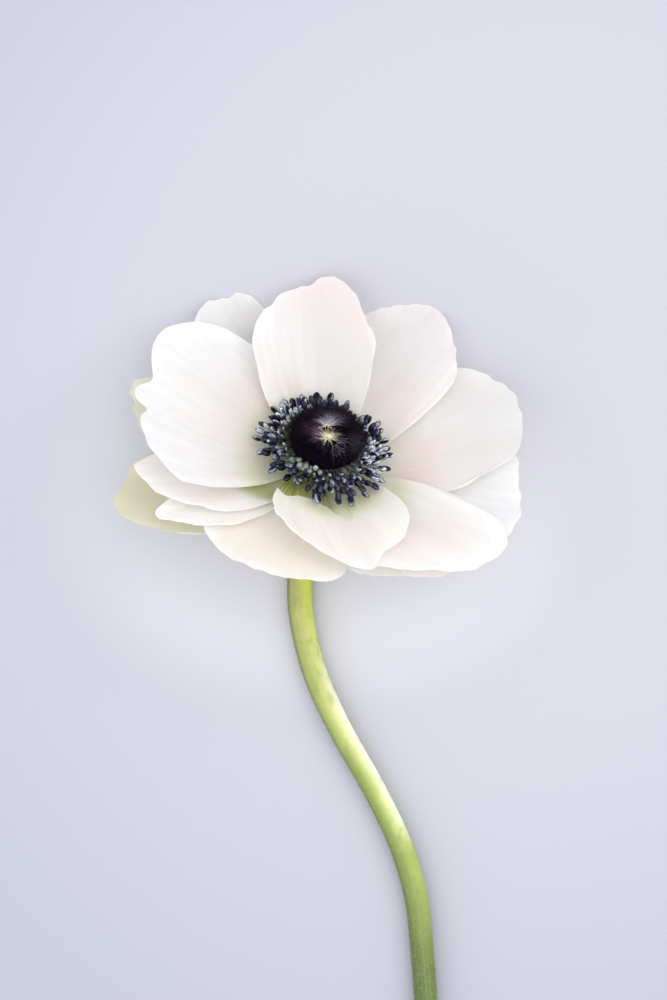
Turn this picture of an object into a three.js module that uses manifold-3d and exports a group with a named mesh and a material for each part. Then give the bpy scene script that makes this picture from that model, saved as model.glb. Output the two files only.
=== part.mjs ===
// A white anemone with a dark centre, cut and laid down on a table.
// Lengths are in millimetres and angles in degrees. The table is z = 0, the
// stem lies towards -Y, and the bloom rests on its back petals and faces up.

import * as THREE from 'three';
import { mergeVertices } from 'three/addons/utils/BufferGeometryUtils.js';
import Module from 'manifold-3d';

const wasm = await Module();
wasm.setup();

// Where the bloom sits
const bloomCentre = new THREE.Vector3(1, 56, 18.4);
const bloomTilt = 42;          // lean of the bloom's axis from straight up
const bloomTurn = 8;           // way it leans, clockwise from +Y

// Petals
const petalThickness = 0.6;
const petalRoot = 3;           // root's distance from the bloom's axis
const petalColumns = 10;
const petalRows = 8;
const midribSteps = 16;
const normalStep = 0.02;       // step over which a petal's normal is measured

// Each petal: azimuth is counter-clockwise round the bloom's axis from +X, seat
// the height of its root, rise its slope from root to tip, cup how far each half
// curls up (left and right as seen from the tip), lean its sideways curve, roll
// its twist, and margin the growth of its edge from the left side round the tip
// to the right side.
const petals = [
  { name: 'petal_inner_back', azimuth: 104, length: 36.5, width: 24.5, seat: -2.2,
    rise: [7, 17, 28, 30], cup: [16, 16], claw: 0.3, shoulder: 0.8, fold: { at: -2.5, slope: 12 },
    margin: [0.03, 0.01, -0.03, -0.02, -0.02, 0.06, 0.05, 0, 0.04] },
  { name: 'petal_inner_front', azimuth: -78, length: 25.9, width: 27.9, seat: -2.2,
    rise: [6, 8, 7, 4], cup: [14, 22], claw: 0.3, shoulder: 0.8, lean: -4,
    margin: [-0.04, -0.05, -0.03, -0.015, 0.13, 0.02, -0.05, -0.1, -0.085] },
  { name: 'petal_upper_left', azimuth: 161, length: 33.3, width: 39.8, seat: -3.3, widest: 0.4,
    rise: [5, 13, 16, 16], cup: [20, 24], claw: 0.2,
    margin: [0.373, 0.259, 0.172, 0.17, 0.156, 0.219, 0.107, -0.12, 0.03],
    notches: [[-0.382, 0.05, 0.08], [-0.105, 0.105, 0.092]] },
  { name: 'petal_upper_front_right', azimuth: -49, length: 34.4, width: 27.6, seat: -3.2,
    rise: [3, 4, 3, 0], cup: [8, 8], claw: 0.22, lean: -6,
    margin: [0.1, 0.145, 0.155, 0.1, 0.04, -0.055, -0.08, -0.04, 0.03] },
  { name: 'petal_middle_back_right', azimuth: 65, length: 38.8, width: 24.2, seat: -4.5,
    rise: [6, 16, 22, 24], cup: [18, 20], claw: 0.24, shoulder: 0.9, lean: 1, roll: 3,
    margin: [0.02, 0.06, 0.035, 0.03, 0.035, 0.01, 0, 0.045, 0.13] },
  { name: 'petal_middle_left', azimuth: -157, length: 35, width: 19, seat: -4.5,
    rise: [2, 7, 10, 10], cup: [6, 6], claw: 0.3, shoulder: 0.9,
    margin: [-0.01, -0.08, -0.07, -0.04, -0.01, 0.06, 0, -0.01, -0.01] },
  { name: 'petal_lower_right', azimuth: 22, length: 39.7, width: 28.5, seat: -5.5,
    rise: [4, 12, 16, 18], cup: [16, 10], claw: 0.22, shoulder: 0.9, roll: -6,
    margin: [0.09, 0.05, 0.025, 0.01, -0.01, -0.02, -0.015, -0.08, -0.055] },
  { name: 'petal_lower_back_left', azimuth: 127, length: 40.5, width: 24.6, seat: -5.5,
    rise: [3, 15, 21, 23], cup: [10, 10],
    margin: [0, 0.01, 0.03, 0.03, 0, 0.01, -0.07, -0.055, -0.02] },
  { name: 'petal_lower_front_left', azimuth: -144, length: 33.5, width: 13.5, seat: -5.6,
    rise: [2, 6, 6, 6], cup: [8, 8], claw: 0.3,
    margin: [0.03, -0.03, -0.07, -0.07, 0.01, 0.04, -0.04, -0.03, -0.01] },
  { name: 'petal_outer_right', azimuth: -9, length: 38.9, width: 30.1, seat: -6.4,
    rise: [2, 7, 8, 8], cup: [6, 6],
    margin: [0.035, 0.11, 0.02, -0.035, -0.02, 0, 0.01, 0.015, 0] },
  { name: 'petal_outer_front', azimuth: -107, length: 29.5, width: 30, seat: -6.6,
    rise: [2, 4, 6, 6], cup: [5, 5],
    margin: [-0.03, 0.02, -0.01, -0.04, -0.05, -0.02, 0.01, 0.05, 0.04] },
  { name: 'petal_outer_left', azimuth: 167, length: 39, width: 22, seat: -6.9,
    rise: [3, 8, 9, 9], cup: [6, 6],
    margin: [0, -0.01, -0.03, -0.04, -0.01, 0.05, 0.01, 0, -0.01] },
  { name: 'petal_outer_front_right', azimuth: -47, length: 31, width: 23.5, seat: -7.6,
    rise: [1, 2, 2, 0], cup: [4, 4], lean: -2,
    margin: [0, 0.03, 0.05, 0.05, -0.02, -0.1, -0.1, -0.05, 0] },
  { name: 'petal_outer_front_left', azimuth: -160, length: 39.5, width: 23, seat: -7.8,
    rise: [0, 0, -1, -2], cup: [4, 4],
    margin: [-0.03, -0.05, -0.07, -0.02, 0.01, -0.03, 0, 0.07, 0.04] },
];

// Pistil: a dome of packed carpels on a short neck, as [radius, height]
const domeProfile = [
  [3, 0.1], [3, 1.7], [6.3, 2], [7.2, 2.6], [7.5, 3.4], [7.2, 4.4], [6.5, 5.4],
  [5.4, 6.2], [4.1, 6.8], [2.8, 7.2], [1.5, 7.4],
];
const domeTop = 7.5;
const domeSides = 40;
const domeRadius = 7.5;
const carpelRelief = 0.2;

// Stamens: rows of filaments with an anther each, rooted in a collar
const filamentRadius = 0.2;
const outerCollar = { inner: 4.8, outer: 5.9, bottom: 0.1, top: 0.5 };
const outerRows = [
  { count: 25, anther: 0.58, path: [[5.3, 0.3], [9.1, 0.6], [12, 0.8], [13.9, 1.2]] },
  { count: 21, anther: 0.58, path: [[5.3, 0.3], [8.5, 0.8], [10.6, 1.2], [12.4, 1.8]] },
  { count: 17, anther: 0.55, path: [[5.3, 0.3], [7.6, 0.8], [9.3, 1.4], [10.9, 2.4]] },
];
const innerCollar = { inner: 3.4, outer: 4.3, bottom: 0.1, top: 0.9 };
const innerRows = [
  { count: 15, anther: 0.45, path: [[3.85, 0.8], [5, 1.25], [6.8, 1.35], [8.8, 1.9], [9.3, 3.3]] },
];
const backLift = 0.5;          // extra height of the anthers over the back petal
const backAzimuth = 104;
const ringStretch = 0.05;      // the ring is longer towards this azimuth and its opposite
const stretchAzimuth = -62;
const ringShift = [-0.4, -0.5];
const ringDip = { azimuth: -122, breadth: 24, depth: 0.22 };    // where the stamens are shorter
const stamenSides = 4;
const collarSides = 24;

// Stem: receptacle and stalk in one. The receptacle is [height, radius] down the
// bloom's axis, the stalk bends to the table and then lies along it.
const stemSides = 12;
const stemFlat = Math.cos(Math.PI / stemSides);
const receptacle = [[-0.2, 6.4], [-0.6, 6.5], [-1.65, 2.65], [-5, 2.65], [-9, 2.65]];
const straightHeights = [-9, -13];
const stalkRadii = [2.65, 2.65, 2.6, 2.5, 2.4, 2.4, 2.4, 2.35];
const stalkSteps = 40;
const bend = [[-2.3, -12.6, -13], [-3.7, -17.3, -15.4]];
const lying = [
  [-4.8, -22], [-5.2, -27], [-4.8, -34], [-2.1, -45], [3.1, -56.5], [9.6, -68], [15.2, -79.6],
  [18.6, -91], [19.9, -102.7], [20.7, -114], [21.1, -126], [21, -138], [20.4, -148],
];

// Materials
const petalMaterial = () => new THREE.MeshStandardMaterial({ color: 0xf4f2f1, roughness: 0.62, metalness: 0 });
const stemMaterial = new THREE.MeshStandardMaterial({ color: 0xa9b957, roughness: 0.6, metalness: 0 });
const pistilMaterial = new THREE.MeshStandardMaterial({ color: 0x1b1424, roughness: 0.7, metalness: 0 });
const antherMaterial = new THREE.MeshStandardMaterial({ color: 0x1f2a44, roughness: 0.65, metalness: 0 });
const paleMaterial = new THREE.MeshStandardMaterial({ color: 0x8d9a8a, roughness: 0.65, metalness: 0 });

const radians = THREE.MathUtils.degToRad;
const { clamp, smoothstep } = THREE.MathUtils;

// A seeded draw from 0 to 1
let seed = 7;
function draw() {
  seed = (seed * 16807) % 2147483647;
  return seed / 2147483647;
}

// A smooth curve through evenly spaced values, for t from 0 to 1
function through(values, t) {
  const last = values.length - 1;
  const place = clamp(t, 0, 1) * last;
  const i = Math.min(Math.floor(place), last - 1);
  const g = place - i;
  const a = values[Math.max(i - 1, 0)];
  const b = values[i];
  const c = values[i + 1];
  const d = values[Math.min(i + 2, last)];
  return b + 0.5 * g * (c - a + g * (2 * a - 5 * b + 4 * c - d + g * (3 * (b - c) + d - a)));
}

// The bloom's own frame: its y leans back from the tilt, z runs along its axis
function bloomMatrix() {
  const tilt = radians(bloomTilt);
  const turn = radians(bloomTurn);
  const axis = new THREE.Vector3(Math.sin(tilt) * Math.sin(turn), Math.sin(tilt) * Math.cos(turn), Math.cos(tilt));
  const right = new THREE.Vector3(Math.cos(turn), -Math.sin(turn), 0);
  const back = new THREE.Vector3().crossVectors(axis, right);
  return new THREE.Matrix4().makeBasis(right, back, axis).setPosition(bloomCentre);
}
const bloomFrame = bloomMatrix();

// Distance from the axis, height and slope of a petal's midrib at t of its length
function midrib(petal, t) {
  const step = petal.length * t / midribSteps;
  let out = petalRoot;
  let height = petal.seat;
  for (let i = 0; i < midribSteps; i += 1) {
    const slope = radians(through(petal.rise, (i + 0.5) / midribSteps * t));
    out += Math.cos(slope) * step;
    height += Math.sin(slope) * step;
  }
  return { out, height, slope: radians(through(petal.rise, t)) };
}

// The petal's flat outline: across runs from -1 to 1, along from 0 at the root to 1
function flatPoint(petal, across, along) {
  const { widest = 0.6, claw = 0.2, shoulder = 1, lean = 0, notches = [] } = petal;
  const side = Math.sin(Math.PI * across / 2);
  const front = Math.cos(Math.PI * across / 2);
  const spread = claw + (1 - claw) * Math.sin(Math.PI * along / 2) ** shoulder;
  let growth = 1 + through(petal.margin, (across + 1) / 2) * along ** 3;
  for (const [place, breadth, depth] of notches) {
    growth -= depth * Math.exp(-(((across - place) / breadth) ** 2)) * along ** 6;
  }
  const y = along * petal.length * (widest + (1 - widest) * front) * growth;
  const x = petal.width / 2 * side * spread * growth + lean * (y / petal.length) ** 2;
  return { x, y };
}

// A point on the petal's middle surface, in the bloom's frame
function petalPoint(petal, across, along) {
  const { x, y } = flatPoint(petal, across, along);
  const t = y / petal.length;
  const rib = midrib(petal, t);
  const curl = radians(petal.cup[x < 0 ? 0 : 1]) / (petal.width / 2) * smoothstep(along, 0, 0.5) + 1e-6;
  const sideways = Math.sin(curl * x) / curl;
  let up = (1 - Math.cos(curl * x)) / curl;
  if (petal.fold) {
    const away = Math.hypot(x - petal.fold.at, 0.6) - 0.6;
    up += Math.tan(radians(petal.fold.slope)) * away * smoothstep(along, 0.2, 1);
  }
  const twist = radians(petal.roll ?? 0) * t;
  const lateral = sideways * Math.cos(twist) - up * Math.sin(twist);
  const lift = sideways * Math.sin(twist) + up * Math.cos(twist);
  const out = rib.out - lift * Math.sin(rib.slope);
  const height = rib.height + lift * Math.cos(rib.slope);
  const azimuth = radians(petal.azimuth);
  return new THREE.Vector3(
    out * Math.cos(azimuth) + lateral * Math.sin(azimuth),
    out * Math.sin(azimuth) - lateral * Math.cos(azimuth),
    height,
  );
}

// Keeping a point at or above a height
function noLower(point, height = 0) {
  point.z = Math.max(point.z, height);
  return point;
}

// Closed mesh from vertices and triangles
function solid(vertices, triangles) {
  const geometry = new THREE.BufferGeometry();
  geometry.setAttribute('position', new THREE.Float32BufferAttribute(vertices.flatMap((v) => v.toArray()), 3));
  geometry.setIndex(triangles.flat());
  return geometry;
}

// A petal: a thin slab split alike on both faces, its tip flattened on the table
function petalGeometry(petal) {
  const columns = petal.width > 35 ? petalColumns + 4 : petalColumns;
  const acrossValues = Array.from({ length: columns + 1 }, (_, i) => 2 * i / columns - 1);
  for (const [place] of petal.notches ?? []) {
    const nearest = Math.round((place + 1) / 2 * columns);
    acrossValues[nearest] = place;
  }
  const upper = [];
  const lower = [];
  for (let row = 0; row <= petalRows; row += 1) {
    for (const across of acrossValues) {
      const along = row / petalRows;
      const middle = petalPoint(petal, across, along);
      const alongWay = petalPoint(petal, across, along + normalStep)
        .sub(petalPoint(petal, across, Math.max(along - normalStep, 0)));
      const acrossWay = petalPoint(petal, clamp(across + normalStep, -1, 1), along || normalStep)
        .sub(petalPoint(petal, clamp(across - normalStep, -1, 1), along || normalStep));
      const normal = acrossWay.cross(alongWay).normalize();
      const top = middle.clone().addScaledVector(normal, petalThickness / 2).applyMatrix4(bloomFrame);
      const bottom = middle.clone().addScaledVector(normal, -petalThickness / 2).applyMatrix4(bloomFrame);
      upper.push(noLower(top, petalThickness));
      lower.push(noLower(bottom));
    }
  }
  const count = upper.length;
  const width = columns + 1;
  const triangles = [];
  const rim = [
    ...Array.from({ length: columns }, (_, i) => i),
    ...Array.from({ length: petalRows }, (_, i) => i * width + columns),
    ...Array.from({ length: columns }, (_, i) => petalRows * width + columns - i),
    ...Array.from({ length: petalRows }, (_, i) => (petalRows - i) * width),
  ];
  rim.forEach((a, i) => {
    const b = rim[(i + 1) % rim.length];
    triangles.push([a, a + count, b + count], [a, b + count, b]);
  });
  for (let row = 0; row < petalRows; row += 1) {
    for (let column = 0; column < columns; column += 1) {
      const a = row * width + column;
      const b = a + 1;
      const c = a + width;
      const d = c + 1;
      triangles.push([a, b, d], [a, d, c]);
      triangles.push([a + count, d + count, b + count], [a + count, c + count, d + count]);
    }
  }
  return solid([...upper, ...lower], triangles);
}

// A closed tube through rings of points, each ring given by its centre, its two
// cross directions and its radius, and none of it below the floor
function tubeGeometry(rings, sides, firstAngle, floor = -Infinity) {
  const vertices = [];
  for (const { centre, right, up, radius } of rings) {
    for (let i = 0; i < sides; i += 1) {
      const angle = firstAngle + 2 * Math.PI * i / sides;
      const point = centre.clone()
        .addScaledVector(right, radius * Math.cos(angle))
        .addScaledVector(up, radius * Math.sin(angle));
      vertices.push(noLower(point, floor));
    }
  }
  const triangles = [];
  for (let ring = 0; ring < rings.length - 1; ring += 1) {
    for (let i = 0; i < sides; i += 1) {
      const a = ring * sides + i;
      const b = ring * sides + (i + 1) % sides;
      triangles.push([a, b, b + sides], [a, b + sides, a + sides]);
    }
  }
  const last = (rings.length - 1) * sides;
  for (let i = 1; i < sides - 1; i += 1) {
    triangles.push([0, i + 1, i], [last, last + i, last + i + 1]);
  }
  return solid(vertices, triangles);
}

// Joining closed meshes into one
function toManifold(geometry) {
  const merged = mergeVertices(geometry, 1e-5);
  return new wasm.Manifold(new wasm.Mesh({
    numProp: 3,
    vertProperties: new Float32Array(merged.getAttribute('position').array),
    triVerts: new Uint32Array(merged.index.array),
  }));
}
function fuse(geometries) {
  const joined = geometries.map(toManifold).reduce((whole, piece) => whole.add(piece));
  const mesh = joined.getMesh();
  const geometry = new THREE.BufferGeometry();
  geometry.setAttribute('position', new THREE.BufferAttribute(new Float32Array(mesh.vertProperties), 3));
  geometry.setIndex(Array.from(mesh.triVerts));
  return geometry;
}

// A flat ring round the bloom's axis
function collarGeometry({ inner, outer, bottom, top }) {
  const outline = [[inner, bottom], [outer, bottom], [outer, top], [inner, top], [inner, bottom]];
  const ring = new THREE.LatheGeometry(outline.map(([r, z]) => new THREE.Vector2(r, z)), collarSides);
  ring.rotateX(Math.PI / 2);
  ring.deleteAttribute('normal');
  ring.deleteAttribute('uv');
  return mergeVertices(ring, 1e-4);
}

// A filament with its anther, along a path of [distance, height] at an azimuth
function stamenGeometry({ path, anther }, azimuth, reach) {
  const sideways = new THREE.Vector3(-Math.sin(azimuth), Math.cos(azimuth), 0);
  const stretch = ringStretch * Math.cos(2 * (azimuth - radians(stretchAzimuth)));
  const fromDip = (azimuth - radians(ringDip.azimuth) - 2 * Math.PI) / radians(ringDip.breadth);
  const growth = stretch - ringDip.depth * Math.exp(-(fromDip ** 2));
  const place = (t) => {
    const out = through(path.map(([distance]) => distance), t) * (1 + growth * t) + reach * t;
    const overBack = Math.max(0, Math.cos(azimuth - radians(backAzimuth))) ** 2;
    const height = through(path.map(([, z]) => z), t) + backLift * overBack * t * t;
    const x = out * Math.cos(azimuth) + ringShift[0] * t;
    const y = out * Math.sin(azimuth) + ringShift[1] * t;
    return new THREE.Vector3(x, y, height);
  };
  const stations = [
    [0, filamentRadius * 1.4], [0.4, filamentRadius], [0.76, filamentRadius],
    [0.82, anther], [0.95, anther], [1, anther * 0.45],
  ];
  const rings = stations.map(([t, radius]) => {
    const way = place(t + 0.02).sub(place(t - 0.02)).normalize();
    return { centre: place(t), right: sideways, up: way.clone().cross(sideways), radius };
  });
  return tubeGeometry(rings, stamenSides, Math.PI / stamenSides);
}

function stamensGeometry(collar, rows) {
  const pieces = [collarGeometry(collar)];
  rows.forEach((row, index) => {
    for (let i = 0; i < row.count; i += 1) {
      const turn = (i + 0.5 * (index % 2) + 0.3 * (draw() - 0.5)) / row.count;
      pieces.push(stamenGeometry(row, 2 * Math.PI * turn, 0.5 * (draw() - 0.5)));
    }
  });
  return fuse(pieces);
}

// The pistil's dome, with its carpels raised in staggered rows
function pistilGeometry() {
  const vertices = [];
  domeProfile.forEach(([radius, height], row) => {
    for (let i = 0; i < domeSides; i += 1) {
      const angle = 2 * Math.PI * i / domeSides;
      const raised = row > 2 ? carpelRelief * (-1) ** (row + i) * radius / domeRadius : 0;
      const out = radius + raised;
      vertices.push(new THREE.Vector3(out * Math.cos(angle), out * Math.sin(angle), height + raised));
    }
  });
  const rows = domeProfile.length;
  const bottom = vertices.push(new THREE.Vector3(0, 0, domeProfile[0][1])) - 1;
  const top = vertices.push(new THREE.Vector3(0, 0, domeTop)) - 1;
  const triangles = [];
  for (let i = 0; i < domeSides; i += 1) {
    const next = (i + 1) % domeSides;
    for (let row = 0; row < rows - 1; row += 1) {
      const a = row * domeSides + i;
      const b = row * domeSides + next;
      triangles.push([a, b, b + domeSides], [a, b + domeSides, a + domeSides]);
    }
    triangles.push([bottom, next, i]);
    triangles.push([top, (rows - 1) * domeSides + i, (rows - 1) * domeSides + next]);
  }
  return solid(vertices, triangles);
}

// The stem: rings down the receptacle, round the bend and along the table
function stemGeometry() {
  const down = (height) => new THREE.Vector3(0, 0, height).applyMatrix4(bloomFrame);
  const raised = [
    ...straightHeights.map(down),
    ...bend.map(([x, y, z]) => new THREE.Vector3(x, y, z).add(bloomCentre)),
  ];
  const last = raised.length + lying.length - 1;
  const lyingPoints = lying.map(([x, y], i) => {
    const radius = through(stalkRadii, (i + raised.length) / last);
    return new THREE.Vector3(bloomCentre.x + x, bloomCentre.y + y, radius * stemFlat);
  });
  const points = [...raised, ...lyingPoints];
  const at = (t) => new THREE.Vector3(
    through(points.map((p) => p.x), t), through(points.map((p) => p.y), t), through(points.map((p) => p.z), t),
  );
  const ring = (centre, way, radius) => {
    const right = new THREE.Vector3(0, 0, 1).cross(way).normalize();
    return { centre, right, up: way.clone().cross(right), radius };
  };
  const axis = new THREE.Vector3(0, 0, -1).transformDirection(bloomFrame);
  const rings = receptacle.map(([height, radius]) => ring(down(height), axis, radius));
  for (let i = 1; i <= stalkSteps; i += 1) {
    const t = i / stalkSteps;
    const way = at(Math.min(t + 0.01, 1)).sub(at(t - 0.01)).normalize();
    rings.push(ring(at(t), way, through(stalkRadii, t)));
  }
  return tubeGeometry(rings, stemSides, Math.PI / stemSides, 0);
}

const flower = new THREE.Group();

function addMesh(name, geometry, material, parent = flower) {
  const mesh = new THREE.Mesh(geometry, material);
  mesh.name = name;
  parent.add(mesh);
}

const bloom = new THREE.Group();
bloom.applyMatrix4(bloomFrame);
flower.add(bloom);

addMesh('stem', stemGeometry(), stemMaterial);
for (const petal of petals) addMesh(petal.name, petalGeometry(petal), petalMaterial());
addMesh('pistil', pistilGeometry(), pistilMaterial, bloom);
addMesh('outer_stamens', stamensGeometry(outerCollar, outerRows), antherMaterial, bloom);
addMesh('inner_stamens', stamensGeometry(innerCollar, innerRows), paleMaterial, bloom);

export default flower;
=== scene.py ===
# A white anemone with a dark centre, cut and laid on a pale table, seen from straight above.
# Lengths are in millimetres until a mesh is placed, and angles in degrees.

import math
import random

import bpy
from mathutils import Matrix, Vector, noise


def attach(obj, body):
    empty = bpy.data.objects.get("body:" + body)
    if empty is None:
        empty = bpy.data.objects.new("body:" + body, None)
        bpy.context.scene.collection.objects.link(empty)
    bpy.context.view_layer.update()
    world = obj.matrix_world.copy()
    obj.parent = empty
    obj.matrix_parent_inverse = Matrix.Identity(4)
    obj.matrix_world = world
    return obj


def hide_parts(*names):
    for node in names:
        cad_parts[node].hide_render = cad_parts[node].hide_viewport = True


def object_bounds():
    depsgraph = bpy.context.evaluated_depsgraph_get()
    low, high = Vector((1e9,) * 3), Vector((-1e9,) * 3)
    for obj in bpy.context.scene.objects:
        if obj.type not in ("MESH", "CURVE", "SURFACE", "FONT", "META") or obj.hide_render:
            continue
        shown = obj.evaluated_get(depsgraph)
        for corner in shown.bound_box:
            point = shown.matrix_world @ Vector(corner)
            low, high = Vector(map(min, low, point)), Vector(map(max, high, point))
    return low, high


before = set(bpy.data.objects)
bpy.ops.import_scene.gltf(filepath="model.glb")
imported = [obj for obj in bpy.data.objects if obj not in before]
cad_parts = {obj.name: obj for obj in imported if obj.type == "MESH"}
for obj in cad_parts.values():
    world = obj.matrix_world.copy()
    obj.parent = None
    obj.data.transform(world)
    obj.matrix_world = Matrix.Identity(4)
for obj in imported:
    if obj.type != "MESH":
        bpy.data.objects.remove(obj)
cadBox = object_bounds()
millimetre = 0.001
chance = random.Random(7)


# Small helpers

def through(values, t):
    # a smooth curve through evenly spaced values
    last = len(values) - 1
    place = min(max(t, 0), 1) * last
    i = min(int(place), last - 1)
    g = place - i
    a, b = values[max(i - 1, 0)], values[i]
    c, d = values[i + 1], values[min(i + 2, last)]
    return b + 0.5 * g * (c - a + g * (2 * a - 5 * b + 4 * c - d + g * (3 * (b - c) + d - a)))


def ease(value, low, high):
    # 0 below low, 1 above high, smooth between
    t = min(max((value - low) / (high - low), 0), 1)
    return t * t * (3 - 2 * t)


def mixed(first, second, share):
    return tuple(a + (b - a) * share for a, b in zip(first, second))


def scattered(side, low, high):
    # a small random shift
    return Vector((chance.uniform(-side, side), chance.uniform(-side, side), chance.uniform(low, high)))


def azimuthNear(azimuth, centre, breadth):
    # 1 at an azimuth round the bloom and falling off over breadth, in degrees
    away = (azimuth - centre + 180) % 360 - 180
    return math.exp(-(away / breadth) ** 2)


# Shader maths as plain arithmetic

class Wire:
    def __init__(self, surface, socket):
        self.surface = surface
        self.socket = socket

    def maths(self, operation, first, second):
        return self.surface.node("Math", {"operation": operation}, {0: first, 1: second})

    def __add__(self, other):
        return self.maths("ADD", self, other)

    def __sub__(self, other):
        return self.maths("SUBTRACT", self, other)

    def __rsub__(self, other):
        return self.maths("SUBTRACT", other, self)

    def __mul__(self, other):
        return self.maths("MULTIPLY", self, other)

    __radd__ = __add__
    __rmul__ = __mul__


class Surface:
    # a material, and the one method that adds a node to it
    def __init__(self, name):
        self.material = bpy.data.materials.new(name)
        self.material.use_nodes = True
        self.tree = self.material.node_tree
        self.tree.nodes.clear()

    def node(self, kind, settings=None, sockets=None, out=0):
        made = self.tree.nodes.new("ShaderNode" + kind)
        for name, value in (settings or {}).items():
            if name == "stops":
                self.rampStops(made.color_ramp, value)
            else:
                setattr(made, name, value)
        for name, value in (sockets or {}).items():
            if isinstance(value, Wire):
                self.tree.links.new(value.socket, made.inputs[name])
            else:
                made.inputs[name].default_value = value
        return Wire(self, made.outputs[out]) if made.outputs else made

    def rampStops(self, ramp, stops):
        while len(ramp.elements) < len(stops):
            ramp.elements.new(0.5)
        for element, (place, value) in zip(ramp.elements, stops):
            element.position = place
            element.color = (*value, 1) if isinstance(value, tuple) else (value, value, value, 1)

    def ramp(self, factor, stops):
        made = self.node("ValToRGB", {"stops": stops}, {"Fac": factor})
        made.socket.node.color_ramp.interpolation = "EASE"
        return made

    def mix(self, factor, first, second):
        sockets = {0: factor, 6: opaque(first), 7: opaque(second)}
        return self.node("Mix", {"data_type": "RGBA"}, sockets, out=2)

    def noise(self, vector, scale, detail=3.0, roughness=0.5):
        sockets = {"Vector": vector, "Scale": scale, "Detail": detail, "Roughness": roughness}
        return self.node("TexNoise", None, sockets)

    def stretched(self, vector, scale, offset=(0, 0, 0)):
        return self.node("Mapping", None, {"Vector": vector, "Scale": scale, "Location": offset})

    def farFrom(self, vector, centre, sizes):
        # distance from a centre, measured in sizes along each direction
        scale = [1 / size for size in sizes]
        offset = [-place * share for place, share in zip(centre, scale)]
        scaled = self.stretched(vector, scale, offset)
        return self.node("VectorMath", {"operation": "LENGTH"}, {0: scaled}, out=1)

    def place(self):
        return self.node("TexCoord", out=3)

    def uv(self):
        return self.node("TexCoord", out=2)

    def bump(self, height, strength, distance):
        return self.node("Bump", None, {"Height": height, "Strength": strength, "Distance": distance})

    def layered(self, colour, palette, *layers):
        # named colours mixed over a first one, each by its own amount
        for amount, tone in layers:
            colour = self.mix(amount, colour, palette[tone])
        return colour

    def skin(self, colour, roughness, normal, shine=0.5, sheen=0, sheenRoughness=0.5):
        return self.node("BsdfPrincipled", None, {
            "Base Color": colour,
            "Roughness": roughness,
            "Normal": normal,
            "Specular IOR Level": shine,
            "Sheen Weight": sheen,
            "Sheen Roughness": sheenRoughness,
        })

    def finish(self, shader):
        self.node("OutputMaterial", None, {"Surface": shader})
        return self.material


def opaque(colour):
    return colour if isinstance(colour, Wire) else (*colour, 1)


# Modelling helpers

def deselectAll():
    if bpy.context.mode != "OBJECT":
        bpy.ops.object.mode_set(mode="OBJECT")
    bpy.ops.object.select_all(action="DESELECT")


def named(name):
    made = bpy.context.active_object
    made.name = name
    made.data.name = name
    return made


def inEditMode(thing, *steps):
    # runs editing steps on the whole mesh
    deselectAll()
    thing.select_set(True)
    bpy.context.view_layer.objects.active = thing
    bpy.ops.object.mode_set(mode="EDIT")
    bpy.ops.mesh.select_all(action="SELECT")
    for step in steps:
        step()
    bpy.ops.object.mode_set(mode="OBJECT")


def gridPiece(name, columns, rows, place):
    # a grid laid over a surface: place takes across from -1 to 1 and along from 0 to 1
    deselectAll()
    bpy.ops.mesh.primitive_grid_add(x_subdivisions=columns, y_subdivisions=rows, size=2, location=(0, 0, 0))
    piece = named(name)
    for vertex in piece.data.vertices:
        across, along = vertex.co.x, (vertex.co.y + 1) / 2
        vertex.co = Vector(place(across, along)) * millimetre
    piece.data.update()
    return piece


def closeTube(piece):
    # the seam of a rolled grid is merged and its two ends are filled
    def merge():
        bpy.ops.mesh.remove_doubles(threshold=1e-6)

    def fill():
        bpy.ops.mesh.select_mode(type="EDGE")
        bpy.ops.mesh.select_all(action="DESELECT")
        bpy.ops.mesh.select_non_manifold(extend=False)
        bpy.ops.mesh.fill_holes(sides=0)
        bpy.ops.mesh.select_all(action="SELECT")

    def outward():
        bpy.ops.mesh.normals_make_consistent(inside=False)

    inEditMode(piece, merge, fill, outward)


def applied(piece, kind, **settings):
    deselectAll()
    piece.select_set(True)
    bpy.context.view_layer.objects.active = piece
    modifier = piece.modifiers.new(kind.title(), kind)
    for name, value in settings.items():
        setattr(modifier, name, value)
    bpy.ops.object.modifier_apply(modifier=modifier.name)


def smooth(piece, angle=60):
    deselectAll()
    piece.select_set(True)
    bpy.context.view_layer.objects.active = piece
    bpy.ops.object.shade_smooth_by_angle(angle=math.radians(angle))


def settled(piece, node, slot=None):
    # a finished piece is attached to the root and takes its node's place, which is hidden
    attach(piece, "root")
    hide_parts(node)
    slot or node


class Bunch:
    # many copies of small patterns gathered in one mesh, each copy with its own tint
    def __init__(self):
        self.points = []
        self.faces = []
        self.tints = []

    def add(self, pattern, place, tint):
        first = len(self.points)
        self.points += [place(*point) for point in pattern["points"]]
        self.faces += [[first + i for i in face] for face in pattern["faces"]]
        self.tints += [tint(*point) for point in pattern["points"]]

    def made(self, name, material):
        mesh = bpy.data.meshes.new(name)
        mesh.from_pydata([point * millimetre for point in self.points], [], self.faces)
        tints = mesh.color_attributes.new("tint", "FLOAT_COLOR", "POINT")
        for item, tint in zip(tints.data, self.tints):
            item.color = (*tint, 1)
        piece = bpy.data.objects.new(name, mesh)
        bpy.context.collection.objects.link(piece)
        mesh.materials.append(material)
        mesh.polygons.foreach_set("use_smooth", [True] * len(mesh.polygons))
        return piece


def patternOf(thing):
    # the points and faces of a modelled pattern, which is then removed; the faces are sorted,
    # because a sphere's come in another order in each run
    points = [tuple(vertex.co) for vertex in thing.data.vertices]
    faces = sorted(list(face.vertices) for face in thing.data.polygons)
    bpy.data.objects.remove(thing)
    return {"points": points, "faces": faces}


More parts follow.
